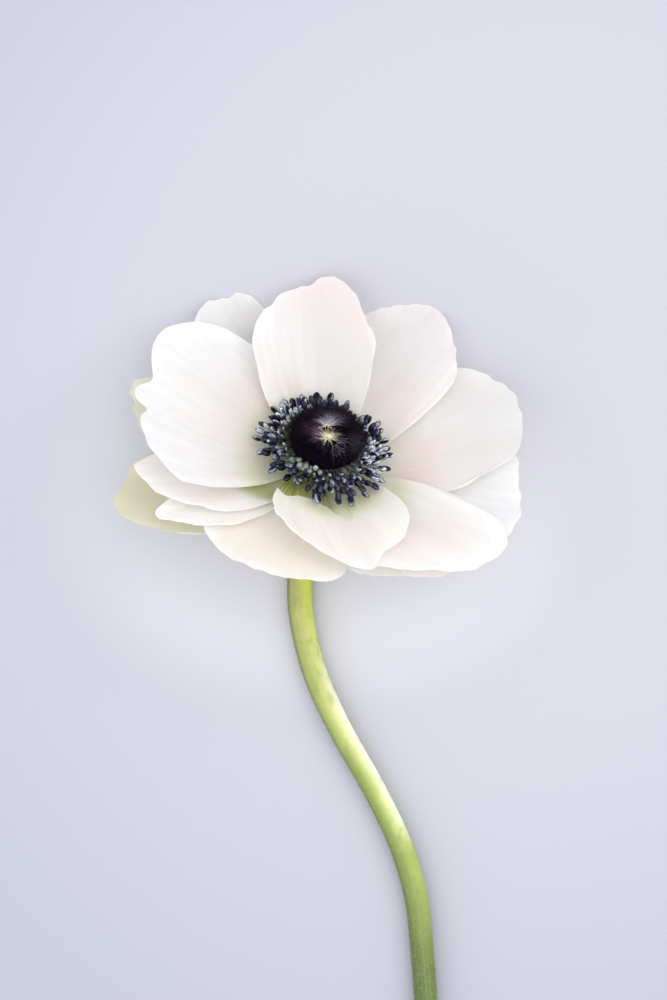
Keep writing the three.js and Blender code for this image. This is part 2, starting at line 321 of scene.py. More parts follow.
def strandPattern(sides, cuts, pointed):
    # an upright strand one unit tall, round 0, cut across so that it can bend
    deselectAll()
    tip = 0.15 if pointed else 1
    bpy.ops.mesh.primitive_cone_add(
        vertices=sides, radius1=1, radius2=tip, depth=1, location=(0, 0, 0.5), end_fill_type="NGON")
    strand = named("strand")
    bpy.ops.object.transform_apply(location=True)

    def cutAcross():
        for i in range(1, cuts):
            bpy.ops.mesh.select_all(action="SELECT")
            bpy.ops.mesh.bisect(plane_co=(0, 0, i / cuts), plane_no=(0, 0, 1))

    inEditMode(strand, cutAcross)
    return patternOf(strand)


def laidAlong(path, radius):
    # lays a strand's points along a path
    def place(x, y, z):
        way = (path(z + 0.02) - path(z - 0.02)).normalized()
        side = way.cross(Vector((0.3, 0.2, 1))).normalized()
        return path(z) + (side * x + side.cross(way) * y) * radius(z)
    return place


# The bloom's own frame: its y leans back from the tilt and its z runs along its axis

bloomSeat = {
    "centre": Vector((1, 56, 18.4)),
    "tilt": 42,
    "turn": 8,
}


def bloomMatrix(seat):
    tilt = math.radians(seat["tilt"])
    turn = math.radians(seat["turn"])
    axis = Vector((math.sin(tilt) * math.sin(turn), math.sin(tilt) * math.cos(turn), math.cos(tilt)))
    right = Vector((math.cos(turn), -math.sin(turn), 0))
    back = axis.cross(right)
    turned = Matrix((right, back, axis)).transposed().to_4x4()
    return Matrix.Translation(seat["centre"]) @ turned


bloomFrame = bloomMatrix(bloomSeat)


# Camera, lights and table

view = {
    "centre": (2.7, 46.4, 718.4),
    "lens": 126,
    "sensor": 36,
}

light = {
    "key": {"place": (300, 160, 680), "size": 900, "power": 3.8, "colour": (1.0, 0.985, 0.96)},
    "fill": {"place": (-430, -240, 560), "size": 1100, "power": 4.0, "colour": (0.97, 0.98, 1.0)},
    "sky": {"colour": (0.93, 0.94, 1.0), "strength": 1.02},
}

table = {
    "size": 6000,
    "patches": 0.3,
    "patchPaleness": 0.12,
    "colour": (0.425, 0.424, 0.468),
    # edge is painted shade, darker away from the lit middle of the table
    "edge": (0.295, 0.311, 0.37),
    "centre": (40, 75),
    "reach": (50, 200),
    # painted light round the bloom, against its soft shadow on the table
    "paintedLight": 0.16,
    "paintedLightCentre": (-2, 45),
    "paintedLightReach": (34, 62),
    "paintedLightLength": 0.75,
}


def placeCamera():
    bpy.ops.object.camera_add(location=Vector(view["centre"]) * millimetre, rotation=(0, 0, 0))
    camera = bpy.context.active_object
    camera.data.lens = view["lens"]
    camera.data.sensor_width = view["sensor"]
    camera.data.clip_start = 0.01
    bpy.context.scene.camera = camera


def placeLights():
    for name in ("key", "fill"):
        lamp = light[name]
        place = Vector(lamp["place"]) * millimetre
        aim = (Vector((0, 50, 0)) * millimetre - place).to_track_quat("-Z", "Y")
        bpy.ops.object.light_add(type="AREA", location=place, rotation=aim.to_euler())
        made = bpy.context.active_object
        made.data.shape = "DISK"
        made.data.size = lamp["size"] * millimetre
        made.data.energy = lamp["power"]
        made.data.color = lamp["colour"]
    world = bpy.data.worlds.new("sky")
    world.use_nodes = True
    backdrop = world.node_tree.nodes["Background"]
    backdrop.inputs["Color"].default_value = (*light["sky"]["colour"], 1)
    backdrop.inputs["Strength"].default_value = light["sky"]["strength"]
    bpy.context.scene.world = world
    bpy.context.scene.view_settings.view_transform = "Standard"


def nearness(paint, centre, reach, length=1):
    # 1 near a place on the table and 0 beyond its reach
    nearest, furthest = [value * millimetre for value in reach]
    middle = [value * millimetre for value in centre]
    away = paint.farFrom(paint.place(), (*middle, 0), (1, length, 1))
    return paint.ramp((away - nearest) * (1 / (furthest - nearest)), ((0, 1), (1, 0)))


def tableFinish():
    paint = Surface("table")
    patches = paint.noise(paint.place(), 1.6, 2.0)
    grain = paint.noise(paint.place(), 900.0, 2.0)
    white = (1, 1, 1)
    # painted shade: the table darkens from a lit centre towards its edges
    lit = nearness(paint, table["centre"], table["reach"])
    colour = paint.mix(lit, table["edge"], table["colour"])
    palePatch = mixed(table["colour"], white, table["patchPaleness"])
    colour = paint.mix(patches * table["patches"], colour, palePatch)
    # painted light: a little paler round the bloom, to lift the soft shadow that falls there
    pale = nearness(paint, table["paintedLightCentre"], table["paintedLightReach"], table["paintedLightLength"])
    colour = paint.mix(pale * table["paintedLight"], colour, white)
    return paint.finish(paint.skin(colour, 0.8, paint.bump(grain, 0.05, 0.0002), shine=0.2))


def placeTable():
    deselectAll()
    bpy.ops.mesh.primitive_plane_add(size=table["size"] * millimetre, location=(0, 0, -0.0001))
    floor = named("table")
    floor.data.materials.append(tableFinish())


deselectAll()
placeCamera()
placeLights()
placeTable()
print("camera, lights and table placed")


# Petals, in the bloom's frame. Azimuth is counter-clockwise round its axis and seat the height
# of the root. Claw is the root's share of the width, widest and shoulder say where and how
# fully the petal broadens, lean is its sideways curve and roll its twist. Rise is the slope
# from root to tip, cup how far each half curls up, and fold a lengthwise bend as (place,
# steepness). Margin is the growth of the edge from the left side round the tip to the right,
# with notches in it as (across, breadth, depth). Creases are soft folds as (across, from, to,
# depth, breadth), and curls stretches of margin that turn up as (side, from, to, height).
# Claws says how far the green root reaches, blush is the pink and paintedShade a yellow-green painted shadow.
# Grey, olive and drab spots are painted shade.
# Spots are (across, along, breadth, reach, colour, strength). A wave's count is how many
# ripples fit across and along, and its seed keeps it apart. Rim is a sharp line over the
# petal as (across, along), and behind the green on the root's side of it as (across, share).

petalShape = {
    "thickness": 0.26,
    "rim": 0.25,
    "root": 3,
    "columns": 80,
    "rows": 84,
    "wave": {"height": 0.5, "count": (1.6, 2.4), "seed": 0},
    "ribs": {"height": 0.014, "count": (22, 1.5), "seed": 5},
    "edgeWave": {"height": 0.55, "count": (3.5, 5), "seed": 9},
    "edgeFrom": (0.72, 0.86),
    "fray": 0.018,
    "frayCount": 8,
    "foldSoftness": 0.6,
    "translucency": 0.6,
    "veins": 0.3,
    "underVeins": 0.45,
}

petals = {
    "petal_inner_back": {
        "azimuth": 104, "length": 36.5, "width": 24.5, "seat": -2.2,
        "rise": (7, 17, 28, 30), "cup": (16, 16), "claw": 0.3, "shoulder": 0.8, "fold": (-2.5, 12),
        "margin": (0.03, 0.01, -0.03, -0.02, -0.02, 0.06, 0.05, 0, 0.04),
        "creases": ((-0.55, 0.62, 0.86, -0.22, 0.05),),
        "blush": 0.35, "paintedShade": 0.04,
        "spots": ((0.55, 0.7, 0.5, 0.6, "grey", 0.8), (0.45, 0.97, 0.45, 0.3, "pink", 0.38),
                  (-0.1, 0.9, 0.3, 0.3, "pink", 0.08)),
    },
    "petal_inner_front": {
        "azimuth": -78, "length": 25.9, "width": 27.9, "seat": -2.2,
        "rise": (6, 8, 7, 4), "cup": (14, 22), "claw": 0.3, "shoulder": 0.8, "lean": -4,
        "margin": (-0.04, -0.05, -0.03, -0.015, 0.13, 0.02, -0.05, -0.1, -0.085),
        "creases": ((0.15, 0.3, 0.95, -0.3, 0.1),),
        "claws": 0.3, "blush": 0.2, "paintedShade": 0.1,
        "rim": ((-0.3, 0.42), (-0.07, 0.6), (0, 0.53), (0.12, 0.41), (0.23, 0.35), (0.45, 0.35), (0.7, 0.43)),
        "behind": ((-0.3, 0), (-0.02, 0.25), (0.1, 0.8), (0.3, 1)),
        "spots": ((-0.1, 0.42, 0.4, 0.2, "green", 0.35), (0.1, 0.75, 0.5, 0.3, "pink", 0.2)),
    },
    "petal_upper_left": {
        "azimuth": 161, "length": 33.3, "width": 39.8, "seat": -3.3, "widest": 0.4,
        "rise": (5, 13, 16, 16), "cup": (20, 24), "claw": 0.2,
        "margin": (0.373, 0.259, 0.172, 0.17, 0.156, 0.219, 0.107, -0.12, 0.03),
        "notches": ((-0.382, 0.05, 0.08), (-0.105, 0.105, 0.092)),
        "creases": ((0.42, 0.78, 0.93, -0.35, 0.05), (-0.36, 0.8, 1.0, -0.3, 0.08)),
        "claws": 0.3, "blush": 0.12, "paintedShade": 0,
        "spots": ((0.2, 0.52, 0.35, 0.2, "pink", 0.3), (-0.15, 0.36, 0.5, 0.15, "olive", 0.3),
                  (-0.95, 0.34, 0.3, 0.2, "green", 0.3), (-0.6, 0.5, 0.4, 0.3, "pink", 0.12)),
    },
    "petal_upper_front_right": {
        "azimuth": -49, "length": 34.4, "width": 27.6, "seat": -3.2,
        "rise": (3, 4, 3, 0), "cup": (8, 8), "claw": 0.22, "lean": -6,
        "margin": (0.1, 0.145, 0.155, 0.1, 0.04, -0.055, -0.08, -0.04, 0.03),
        "creases": ((-0.2, 0.35, 0.9, -0.25, 0.12),),
        "claws": 0.3, "blush": 0.25, "paintedShade": 0.08,
        "spots": ((-0.1, 0.38, 0.6, 0.16, "green", 0.45), (0.1, 0.7, 0.5, 0.3, "pink", 0.25)),
    },
    "petal_middle_back_right": {
        "azimuth": 65, "length": 38.8, "width": 24.2, "seat": -4.5,
        "rise": (6, 16, 22, 24), "cup": (18, 20), "claw": 0.24, "shoulder": 0.9, "lean": 1, "roll": 3,
        "margin": (0.02, 0.06, 0.035, 0.03, 0.035, 0.01, 0, 0.045, 0.13),
        "curls": ((1, 0.4, 1.1, 0.45),),
        "blush": 0.5, "paintedShade": 0.03,
        "spots": ((0.4, 0.5, 0.4, 0.25, "pink", 0.35), (0.2, 1.0, 0.5, 0.2, "pink", 0.25),
                  (0.0, 0.75, 0.6, 0.4, "grey", 0.35)),
    },
    "petal_middle_left": {
        "azimuth": -157, "length": 35, "width": 19, "seat": -4.5,
        "rise": (2, 7, 10, 10), "cup": (6, 6), "claw": 0.3, "shoulder": 0.9,
        "margin": (-0.01, -0.08, -0.07, -0.04, -0.01, 0.06, 0, -0.01, -0.01),
        "claws": 0.38, "blush": 0.12, "paintedShade": 0,
        "spots": ((-0.2, 0.75, 0.6, 0.3, "pink", 0.15), (-0.42, 0.36, 0.5, 0.17, "claw", 0.85)),
    },
    "petal_lower_right": {
        "azimuth": 22, "length": 39.7, "width": 28.5, "seat": -5.5,
        "rise": (4, 12, 16, 18), "cup": (16, 10), "claw": 0.22, "shoulder": 0.9, "roll": -6,
        "margin": (0.09, 0.05, 0.025, 0.01, -0.01, -0.02, -0.015, -0.08, -0.055),
        "curls": ((-1, 0.5, 1.1, 0.35),),
        "blush": 0.6, "paintedShade": 0.05,
        "spots": ((0.45, 0.4, 0.5, 0.22, "pink", 0.6), (0.1, 0.9, 0.8, 0.45, "grey", 0.9)),
    },
    "petal_lower_back_left": {
        "azimuth": 127, "length": 40.5, "width": 24.6, "seat": -5.5,
        "rise": (3, 15, 21, 23), "cup": (10, 10),
        "margin": (0, 0.01, 0.03, 0.03, 0, 0.01, -0.07, -0.055, -0.02),
        "creases": ((0.05, 0.6, 1.0, -0.35, 0.07), (0.5, 0.65, 1.0, -0.3, 0.08)),
        "blush": 0.1, "paintedShade": 0.04,
        "spots": ((0.05, 0.8, 0.35, 0.2, "grey", 0.5), (0.1, 0.95, 0.5, 0.12, "grey", 0.2)),
    },
    "petal_lower_front_left": {
        "azimuth": -144, "length": 33.5, "width": 13.5, "seat": -5.6,
        "rise": (2, 6, 6, 6), "cup": (8, 8), "claw": 0.3,
        "margin": (0.03, -0.03, -0.07, -0.07, 0.01, 0.04, -0.04, -0.03, -0.01),
        "creases": ((0.1, 0.3, 0.95, -0.35, 0.2),),
        "claws": 0.36, "blush": 0.08, "paintedShade": 0,
        "spots": ((0.1, 0.85, 0.5, 0.3, "beige", 0.12),),
    },
    "petal_outer_right": {
        "azimuth": -9, "length": 38.9, "width": 30.1, "seat": -6.4,
        "rise": (2, 7, 8, 8), "cup": (6, 6),
        "margin": (0.035, 0.11, 0.02, -0.035, -0.02, 0, 0.01, 0.015, 0),
        "blush": 0.1, "paintedShade": 0,
        "spots": ((-0.2, 0.42, 0.45, 0.22, "pink", 0.12), (-0.1, 0.75, 0.5, 0.3, "grey", 0.3)),
    },
    "petal_outer_front": {
        "azimuth": -107, "length": 29.5, "width": 30, "seat": -6.6,
        "rise": (2, 4, 6, 6), "cup": (5, 5),
        "margin": (-0.03, 0.02, -0.01, -0.04, -0.05, -0.02, 0.01, 0.05, 0.04),
        "claws": 0.45, "blush": 0.25, "paintedShade": 0,
        "spots": ((0.0, 0.66, 0.6, 0.3, "rose", 0.3), (0.0, 0.8, 0.9, 0.4, "beige", 0.45)),
    },
    "petal_outer_left": {
        "azimuth": 167, "length": 39, "width": 22, "seat": -6.9,
        "rise": (3, 8, 9, 9), "cup": (6, 6),
        "margin": (0, -0.01, -0.03, -0.04, -0.01, 0.05, 0.01, 0, -0.01),
        "blush": 0, "paintedShade": 0.32,
        "spots": ((0.0, 0.9, 0.8, 0.5, "olive", 0.25),),
    },
    "petal_outer_front_right": {
        "azimuth": -47, "length": 31, "width": 23.5, "seat": -7.6,
        "rise": (1, 2, 2, 0), "cup": (4, 4), "lean": -2,
        "margin": (0, 0.03, 0.05, 0.05, -0.02, -0.1, -0.1, -0.05, 0),
        "blush": 0.3, "paintedShade": 0.1,
        "spots": ((-0.2, 0.9, 0.5, 0.3, "pink", 0.2),),
    },
    "petal_outer_front_left": {
        "azimuth": -160, "length": 39.5, "width": 23, "seat": -7.8,
        "rise": (0, 0, -1, -2), "cup": (4, 4),
        "margin": (-0.03, -0.05, -0.07, -0.02, 0.01, -0.03, 0, 0.07, 0.04),
        "blush": 0.05, "paintedShade": 0.5,
        "spots": ((-0.1, 0.9, 0.8, 0.5, "drab", 0.7), (0.6, 0.95, 0.5, 0.4, "beige", 0.4)),
    },
}

petalPaint = {
    "white": (0.962, 0.956, 0.956),
    "pink": (0.93, 0.79, 0.785),
    "rose": (0.93, 0.80, 0.70),
    "green": (0.66, 0.70, 0.30),
    "claw": (0.58, 0.60, 0.28),
    # the darker green of the forks behind a rim is painted shade
    "fork": (0.28, 0.31, 0.07),
    # shadow is a yellow-green painted shadow
    "shadow": (0.80, 0.80, 0.56),
    "vein": (0.87, 0.86, 0.85),
    # grey is painted shade in the spots, and a tone in the lengthwise streaks
    "grey": (0.86, 0.85, 0.84),
    # an olive painted shade
    "olive": (0.78, 0.74, 0.48),
    "beige": (0.93, 0.88, 0.77),
    # a drab painted shade
    "drab": (0.76, 0.72, 0.63),
}


def midrib(petal, t, steps=16):
    # distance from the axis, height and slope of the midrib at t of its length
    step = petal["length"] * t / steps
    out, height = petalShape["root"], petal["seat"]
    for i in range(steps):
        slope = math.radians(through(petal["rise"], (i + 0.5) / steps * t))
        out += math.cos(slope) * step
        height += math.sin(slope) * step
    return out, height, math.radians(through(petal["rise"], t))


def flatPoint(petal, across, along):
    # the petal's flat outline
    claw, widest = petal.get("claw", 0.2), petal.get("widest", 0.6)
    side, front = math.sin(math.pi * across / 2), math.cos(math.pi * across / 2)
    spread = claw + (1 - claw) * math.sin(math.pi * along / 2) ** petal.get("shoulder", 1)
    growth = 1 + through(petal["margin"], (across + 1) / 2) * along ** 3
    fray = noise.noise(Vector((across * petalShape["frayCount"], petal["azimuth"], 0)))
    growth += petalShape["fray"] * fray * along ** 8
    for place, breadth, depth in petal.get("notches", ()):
        growth -= depth * math.exp(-((across - place) / breadth) ** 2) * along ** 6
    y = along * petal["length"] * (widest + (1 - widest) * front) * growth
    x = petal["width"] / 2 * side * spread * growth + petal.get("lean", 0) * (y / petal["length"]) ** 2
    return x, y


def petalPoint(petal, across, along):
    # a point of the petal's middle surface
    x, y = flatPoint(petal, across, along)
    t = y / petal["length"]
    out, height, slope = midrib(petal, t)
    curl = math.radians(petal["cup"][0 if x < 0 else 1]) / (petal["width"] / 2) * ease(along, 0, 0.5) + 1e-6
    sideways = math.sin(curl * x) / curl
    up = (1 - math.cos(curl * x)) / curl
    if "fold" in petal:
        at, steepness = petal["fold"]
        soft = petalShape["foldSoftness"]
        up += math.tan(math.radians(steepness)) * (math.hypot(x - at, soft) - soft) * ease(along, 0.2, 1)
    twist = math.radians(petal.get("roll", 0)) * t
    lateral = sideways * math.cos(twist) - up * math.sin(twist)
    lift = sideways * math.sin(twist) + up * math.cos(twist)
    out -= lift * math.sin(slope)
    height += lift * math.cos(slope)
    azimuth = math.radians(petal["azimuth"])
    local = Vector((
        out * math.cos(azimuth) + lateral * math.sin(azimuth),
        out * math.sin(azimuth) - lateral * math.cos(azimuth),
        height))
    return bloomFrame @ local


def ripple(kind, across, along, seed):
    # the height of one kind of wave, with about count waves across and along
    wave = petalShape[kind]
    wide, long = wave["count"]
    return wave["height"] * noise.noise(Vector((across * wide, along * long, seed + wave["seed"])))


def ruffle(petal, across, along, seed):
    # the height of waves, ribs, creases and curled margins over the middle surface
    side, end = petalShape["edgeFrom"]
    rim = max(ease(abs(across), side, 1), ease(along, end, 1))
    height = ripple("wave", across, along, seed) * along
    height += ripple("ribs", across, along, seed) + ripple("edgeWave", across, along, seed) * rim * along
    for place, low, high, depth, breadth in petal.get("creases", ()):
        reach = ease(along, low, low + 0.12) * (1 - ease(along, high - 0.08, high + 0.05))
        height += depth * reach * math.exp(-((across - place) / breadth) ** 2)
    for way, low, high, lift in petal.get("curls", ()):
        reach = ease(along, low, low + 0.2) * (1 - ease(along, high, high + 0.1))
        height += lift * reach * ease(way * across, side, 1) ** 2
    return height


def behindRim(paint, petal, across, along, veins, colour):
    # a white rim with a sharp edge, and forked green behind it whose darker forks are painted shade
    line = paint.ramp(across, [((place + 1) / 2, length) for place, length in petal["rim"]])
    share = paint.ramp(across, [((place + 1) / 2, amount) for place, amount in petal["behind"]])
    past = (line - along) * 4 + 0.5
    rim = paint.ramp(past, ((0.34, 0), (0.44, 1))) * share * 0.7
    colour = paint.mix(rim, colour, petalPaint["white"])
    green = paint.mix(veins, petalPaint["claw"], petalPaint["fork"])
    return paint.mix(paint.ramp(past, ((0.49, 0), (0.53, 1))) * share, colour, green)


def petalColour(paint, petal, shift, veins, underside):
    # white with veins and clouds of pink, the petal's spots, of which the grey, olive and drab ones are
    # painted shade, a yellow-green painted shadow and its green root
    uv = paint.uv()
    across = paint.node("SeparateXYZ", None, {"Vector": uv})
    along = paint.node("SeparateXYZ", None, {"Vector": uv}, out=1)
    clouds = paint.noise(paint.stretched(uv, (2.2, 2.0, 1), shift), 1.6, 3.0)
    bands = paint.noise(paint.stretched(uv, (9, 1.1, 1), shift), 1.0, 3.0, 0.6)
    veined = veins * petalShape["underVeins" if underside else "veins"]
    rosy = paint.ramp(along, ((0.12, 0), (0.36, 1), (0.75, 0.25)))
    layers = [
        (veined, "vein"),
        (paint.ramp(bands, ((0.45, 0), (0.7, 1))) * 0.4, "grey"),
        (paint.ramp(clouds, ((0.35, 0), (0.7, 1))) * rosy * petal["blush"], "pink")]
    for place, length, breadth, reach, tone, strength in petal["spots"]:
        away = paint.farFrom(uv, ((place + 1) / 2, length, 0), (breadth, reach, 1))
        layers.append((paint.ramp(away, ((0.15, 1), (1, 0))) * (strength * 0.5 + strength * clouds), tone))
    middle = paint.ramp(across, ((0.2, 0), (0.5, 1), (0.8, 0)))
    rooted = paint.ramp(along, ((0.06, 1), (petal.get("claws", 0.2), 0)))
    layers.append((petal["paintedShade"] * (0.8 + 0.2 * clouds), "shadow"))
    layers.append((rooted * (0.55 + 0.45 * middle), "green"))
    colour = paint.layered(petalPaint["white"], petalPaint, *layers)
    if "rim" in petal:
        colour = behindRim(paint, petal, across, along, veins, colour)
    if underside:
        base = paint.ramp(along, ((0.1, 1), (0.75, 0.15)))
        colour = paint.mix(base * 0.5 * (0.4 + veins), colour, petalPaint["green"])
    return colour


def petalFinish(name, petal, seed, underside):
    paint = Surface(name)
    shift = (seed * 3.7, seed * 1.9, 0)
    strands = paint.noise(paint.stretched(paint.uv(), (46, 1.3, 1), shift), 1.0, 4.0, 0.6)
    fine = paint.noise(paint.stretched(paint.uv(), (150, 5, 1), shift), 1.0, 3.0, 0.6)
    cells = paint.noise(paint.place(), 2600.0, 2.0)
    veins = paint.ramp(strands, ((0.42, 0), (0.62, 1)))
    colour = petalColour(paint, petal, shift, veins, underside)
    normal = paint.bump(strands * 0.7 + fine * 0.35 + cells * 0.1, 0.22, 0.00012)
    body = paint.skin(colour, 0.5 + 0.15 * fine, normal, shine=0.3, sheen=0.15)
    glow = paint.node("BsdfTranslucent", None, {"Color": colour, "Normal": normal})
    shader = paint.node("MixShader", None, {0: petalShape["translucency"], 1: body, 2: glow})
    return paint.finish(shader)


def keptInside(point, spare):
    # a placed point drawn back inside the CAD's own box
    for i in range(3):
        point[i] = min(max(point[i], cadBox[0][i] + spare), cadBox[1][i] - spare)


def makePetal(name, petal, seed):
    columns, rows = petalShape["columns"], petalShape["rows"]
    piece = gridPiece("tepal_" + name[6:], columns, rows,
                      lambda across, along: petalPoint(petal, across, along))
    vertices = piece.data.vertices
    places = [(i % (columns + 1) / columns * 2 - 1, i // (columns + 1) / rows) for i in range(len(vertices))]
    flat = [(vertex.co.copy(), vertex.normal.copy()) for vertex in vertices]
    facing = 1 if flat[len(flat) // 2][1].z > 0 else -1
    for vertex, (point, normal), (across, along) in zip(vertices, flat, places):
        height = ruffle(petal, across, along, seed) * millimetre * facing
        vertex.co = point + normal * height
        keptInside(vertex.co, petalShape["thickness"] / 2 * millimetre)
    if facing < 0:
        inEditMode(piece, lambda: bpy.ops.mesh.flip_normals())
    piece.data.materials.append(petalFinish(name + "_top", petal, seed, False))
    piece.data.materials.append(petalFinish(name + "_under", petal, seed, True))
    body = piece.vertex_groups.new(name="body")
    for i, (across, along) in enumerate(places):
        inward = (1 - ease(abs(across), 0.9, 1)) * (1 - ease(along, 0.94, 1))
        body.add([i], inward, "REPLACE")
    applied(piece, "SOLIDIFY", thickness=petalShape["thickness"] * millimetre, offset=0,
            material_offset=1, use_rim=True, vertex_group="body", thickness_vertex_group=petalShape["rim"])
    smooth(piece)
    settled(piece, name, "petal")


for seed, (name, petal) in enumerate(petals.items()):
    makePetal(name, petal, seed + 1)
print("petals made:", len(petals))


# The stem: receptacle and stalk in one. Receptacle is (height, radius) down the bloom's axis,
# bend runs behind the bloom and lying along the table, both measured from its centre. Hairs
# sway along the stalk, spread sideways and stay spare of the cut end and of the table.

stem = {
    "receptacle": ((-0.2, 6.4), (-0.6, 6.5), (-1.1, 4.6), (-1.65, 2.65), (-5, 2.65), (-9, 2.65)),
    "straight": (-9, -13),
    "bend": ((-2.3, -12.6, -13), (-3.7, -17.3, -15.4)),
    "lying": (
        (-4.8, -22), (-5.2, -27), (-4.8, -34), (-2.1, -45), (3.1, -56.5), (9.6, -68), (15.2, -79.6),
        (18.6, -91), (19.9, -102.7), (20.7, -114), (21.1, -126), (21, -138), (20.4, -148)),
    "radii": (2.65, 2.65, 2.6, 2.5, 2.4, 2.4, 2.4, 2.35),
    "steps": 150,
    "sides": 36,
    "furrows": 0.05,
    "furrowCount": (2.4, 0.02),
    "solidSides": 12,
    "hairs": 9000,
    "hairLength": (0.3, 0.8),
    "hairRadius": 0.023,
    "hairSway": (-0.7, 0.4),
    "hairSpread": 0.4,
    "hairSeat": 0.1,
    "hairSpare": (0.1, 0.05),
}

stemPaint = {
    "shadeSide": ((0.36, (0.30, 0.29, 0.10)), (0.48, (0.25, 0.29, 0.07)), (0.57, (0.18, 0.235, 0.035)),
                  (0.69, (0.13, 0.18, 0.035)), (0.78, (0.06, 0.10, 0.018))),
    "lightSide": ((0.35, (0.52, 0.57, 0.07)), (0.46, (0.62, 0.66, 0.24)), (0.55, (0.76, 0.81, 0.36)),
                  (0.60, (0.70, 0.76, 0.30)), (0.66, (0.36, 0.44, 0.10)), (0.78, (0.11, 0.16, 0.035))),
    "blotch": (0.16, 0.20, 0.05),
    # pale is a painted highlight on the lit edge and rim a painted shade on the far edge
    "pale": (0.86, 0.87, 0.82),
    "down": (0.76, 0.80, 0.48),
    "fleece": (0.42, 0.50, 0.16),
    "rim": (0.10, 0.12, 0.05),
}


def stemRings():
    # centre, two cross directions and radius of every ring from the receptacle to the cut end
    centre = bloomSeat["centre"]
    raised = [bloomFrame @ Vector((0, 0, height)) for height in stem["straight"]]
    raised += [centre + Vector(bend) for bend in stem["bend"]]
    last = len(raised) + len(stem["lying"]) - 1
    points = list(raised)
    for i, (x, y) in enumerate(stem["lying"]):
        radius = through(stem["radii"], (i + len(raised)) / last)
        # as high as the solid lies, which rests on a flat facet
        height = radius * math.cos(math.pi / stem["solidSides"])
        points.append(Vector((centre.x + x, centre.y + y, height)))

    def at(t):
        return Vector([through([p[k] for p in points], t) for k in range(3)])

    def ring(middle, way, radius):
        right = Vector((0, 0, 1)).cross(way).normalized()
        return {"centre": middle, "right": right, "up": way.cross(right), "radius": radius, "way": way}

    axis = -(bloomFrame.to_3x3() @ Vector((0, 0, 1)))
    rings = [ring(bloomFrame @ Vector((0, 0, h)), axis, r) for h, r in stem["receptacle"]]
    for i in range(1, stem["steps"] + 1):
        t = i / stem["steps"]
        way = (at(min(t + 0.01, 1)) - at(t - 0.01)).normalized()
        rings.append(ring(at(t), way, through(stem["radii"], t)))
    return rings


def stemPoint(rings, turn, place):
    # a point of the stem's skin at a turn round it and a place along its rings
    i = min(int(place), len(rings) - 2)
    share = place - i
    a, b = rings[i], rings[i + 1]
    count, drift = stem["furrowCount"]
    furrow = noise.noise(Vector((math.cos(turn) * count, math.sin(turn) * count, place * drift)))
    radius = a["radius"] + (b["radius"] - a["radius"]) * share + stem["furrows"] * furrow
    middle = a["centre"].lerp(b["centre"], share)
    out = a["right"].lerp(b["right"], share) * math.cos(turn) + a["up"].lerp(b["up"], share) * math.sin(turn)
    point = middle + out.normalized() * radius
    point.z = max(point.z, 0)
    return point, out.normalized()


def stemColour(paint, uv, streaks, down):
    # painted light and shade: a sunny and a shaded side that change along the stalk, with blotches, a pale
    # painted highlight on the lit edge and a dark rim of painted shade on the far edge
    around = paint.node("SeparateXYZ", None, {"Vector": uv})
    lengthwise = paint.node("SeparateXYZ", None, {"Vector": uv}, out=1)
    patches = paint.noise(paint.stretched(paint.place(), (120, 90, 120)), 1.0, 3.0)
    blotches = paint.noise(paint.stretched(paint.place(), (330, 210, 330)), 1.0, 4.0, 0.6)
    parting = (around + 0.2 * patches + 0.06 * streaks) * 0.8
    sunny = paint.ramp(parting, ((0.1, 0), (0.34, 1), (0.57, 1), (0.81, 0)))
    shadeSide = paint.ramp(lengthwise, stemPaint["shadeSide"])
    lightSide = paint.ramp(lengthwise, stemPaint["lightSide"])
    colour = paint.mix(sunny, shadeSide, lightSide)
    # painted highlight: a pale stretch along the lit edge; the rim below is painted shade along the far edge
    edge = paint.ramp(around, ((0.42, 0), (0.5, 1), (0.56, 1), (0.72, 0)))
    stretch = paint.ramp(lengthwise, ((0.43, 0), (0.5, 1), (0.6, 1), (0.65, 0)))
    return paint.layered(
        colour, stemPaint,
        (edge * stretch * 0.8, "pale"),
        (paint.ramp(blotches, ((0.5, 0), (0.75, 0.5))), "blotch"),
        (paint.ramp(streaks, ((0.5, 0), (0.75, 0.16))), "down"),
        (paint.ramp(down, ((0.5, 0), (0.8, 0.2))), "down"),
        (paint.ramp(around, ((0.02, 0.8), (0.1, 0), (0.87, 0), (0.94, 0.8))), "rim"))


def stemFinish():
    paint = Surface("stem")
    uv = paint.uv()
    streaks = paint.noise(paint.stretched(uv, (26, 3.0, 1)), 1.0, 4.0, 0.6)
    fine = paint.noise(paint.stretched(uv, (130, 60, 1)), 1.0, 3.0)
    down = paint.noise(paint.place(), 3000.0, 3.0, 0.7)
    colour = stemColour(paint, uv, streaks, down)
    normal = paint.bump(streaks * 0.6 + down * 0.4, 0.4, 0.0002)
    return paint.finish(paint.skin(colour, 0.5 + 0.2 * fine, normal, 0.35, 0.2, 0.35))


def tintFinish(name, roughness=0.5, sheen=0, shine=0.1, grain=2500.0, depth=0.00005):
    # a finish whose colour is each copy's own tint, broken up by a fine grain
    paint = Surface(name)
    tint = paint.node("VertexColor", {"layer_name": "tint"})
    specks = paint.noise(paint.place(), grain, 3.0, 0.65)
    colour = paint.mix(paint.ramp(specks, ((0.3, 0), (0.75, 0.55))), tint, (0, 0, 0))
    normal = paint.bump(specks, 0.5, depth)
    return paint.finish(paint.skin(colour, roughness + 0.15 * specks, normal, shine, sheen, 0.4))


def makeStalk(rings):
    last = len(rings) - 1
    piece = gridPiece("stalk", stem["sides"], last * 2,
                      lambda across, along: stemPoint(rings, math.pi * across, along * last)[0])
    closeTube(piece)
    piece.data.materials.append(stemFinish())
    smooth(piece, 50)
    settled(piece, "stem")


